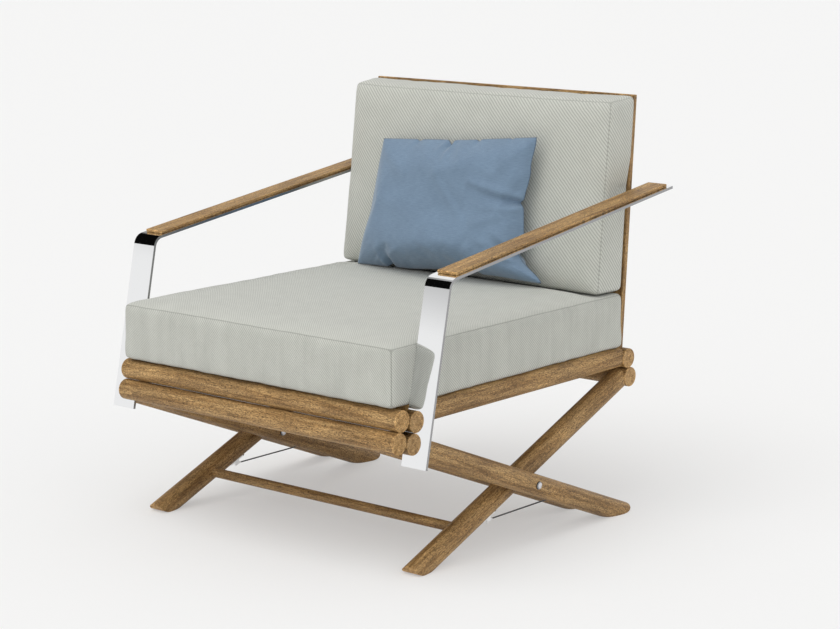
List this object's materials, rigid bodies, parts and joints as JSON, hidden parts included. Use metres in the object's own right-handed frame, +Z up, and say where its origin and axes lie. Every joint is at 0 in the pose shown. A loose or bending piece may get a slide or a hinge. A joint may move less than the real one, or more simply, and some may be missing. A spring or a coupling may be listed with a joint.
{
  "type": "garden armchair",
  "caption": "Low teak lounge armchair on crossed round legs, with bent steel arm straps, slatted seat and back, loose cushions and a throw pillow.",
  "frame": {"origin": "on the floor, under the centre of the chair's bounding box", "axes": "+Z up, -Y to the front of the chair, +X to the right in the front view"},
  "size_m": [0.822, 0.8182, 0.8419],
  "materials": {
    "teak": "fine brushed, oiled",
    "steel": "mirror polished stainless steel",
    "cushion_cloth": "grey-green diagonal twill",
    "pillow_cloth": "soft dusty blue plain weave"
  },
  "bodies": {
    "frame": {"arm_bracket_left": "steel", "arm_bracket_right": "steel", "arm_pad_left": "teak", "arm_pad_right": "teak", "arm_strap_left": "steel", "arm_strap_right": "steel", "back_rail_low": "teak", "back_rail_top": "teak", "back_slat_1": "teak", "back_slat_2": "teak", "back_slat_3": "teak", "back_slat_4": "teak", "back_slat_5": "teak", "back_slat_6": "teak", "back_slat_7": "teak", "back_stile_left": "teak", "back_stile_right": "teak", "bracket_screw_arm_strap_left": "steel", "bracket_screw_arm_strap_right": "steel", "bracket_screw_back_stile_left": "steel", "bracket_screw_back_stile_right": "steel", "front_foot_leg_left": "teak", "front_foot_leg_right": "teak", "front_rail_lower": "teak", "front_rail_upper": "teak", "pivot_bolt_left": "steel", "pivot_bolt_right": "steel", "pivot_washer_inner_left": "steel", "pivot_washer_inner_right": "steel", "pivot_washer_outer_left": "steel", "pivot_washer_outer_right": "steel", "rear_foot_leg_inner_left": "teak", "rear_foot_leg_inner_right": "teak", "rear_foot_leg_outer_left": "teak", "rear_foot_leg_outer_right": "teak", "rear_rail_lower": "teak", "rear_rail_upper": "teak", "seat_slat_1": "teak", "seat_slat_2": "teak", "seat_slat_3": "teak", "seat_slat_4": "teak", "seat_slat_5": "teak", "seat_slat_6": "teak", "seat_slat_7": "teak", "seat_slat_8": "teak", "side_rail_left": "teak", "side_rail_right": "teak", "stay_left": "steel", "stay_right": "steel", "strap_screw_left": "steel", "strap_screw_right": "steel", "stretcher": "teak"},
    "seat_cushion": {"seat_cushion": "cushion_cloth"},
    "back_cushion": {"back_cushion": "cushion_cloth"},
    "throw_pillow": {"throw_pillow": "pillow_cloth"}
  },
  "joints": [
    {"name": "seat_cushion_lift", "type": "slide", "parent": "frame", "child": "seat_cushion", "axis": [0, 0, 1], "range_m": [0, 0.15]},
    {"name": "back_cushion_lift", "type": "slide", "parent": "seat_cushion", "child": "back_cushion", "axis": [0, 0.0703, 0.9975], "range_m": [0, 0.3]},
    {"name": "throw_pillow_lift", "type": "slide", "parent": "seat_cushion", "child": "throw_pillow", "axis": [0, 0, 1], "range_m": [0, 0.3]}
  ]
}
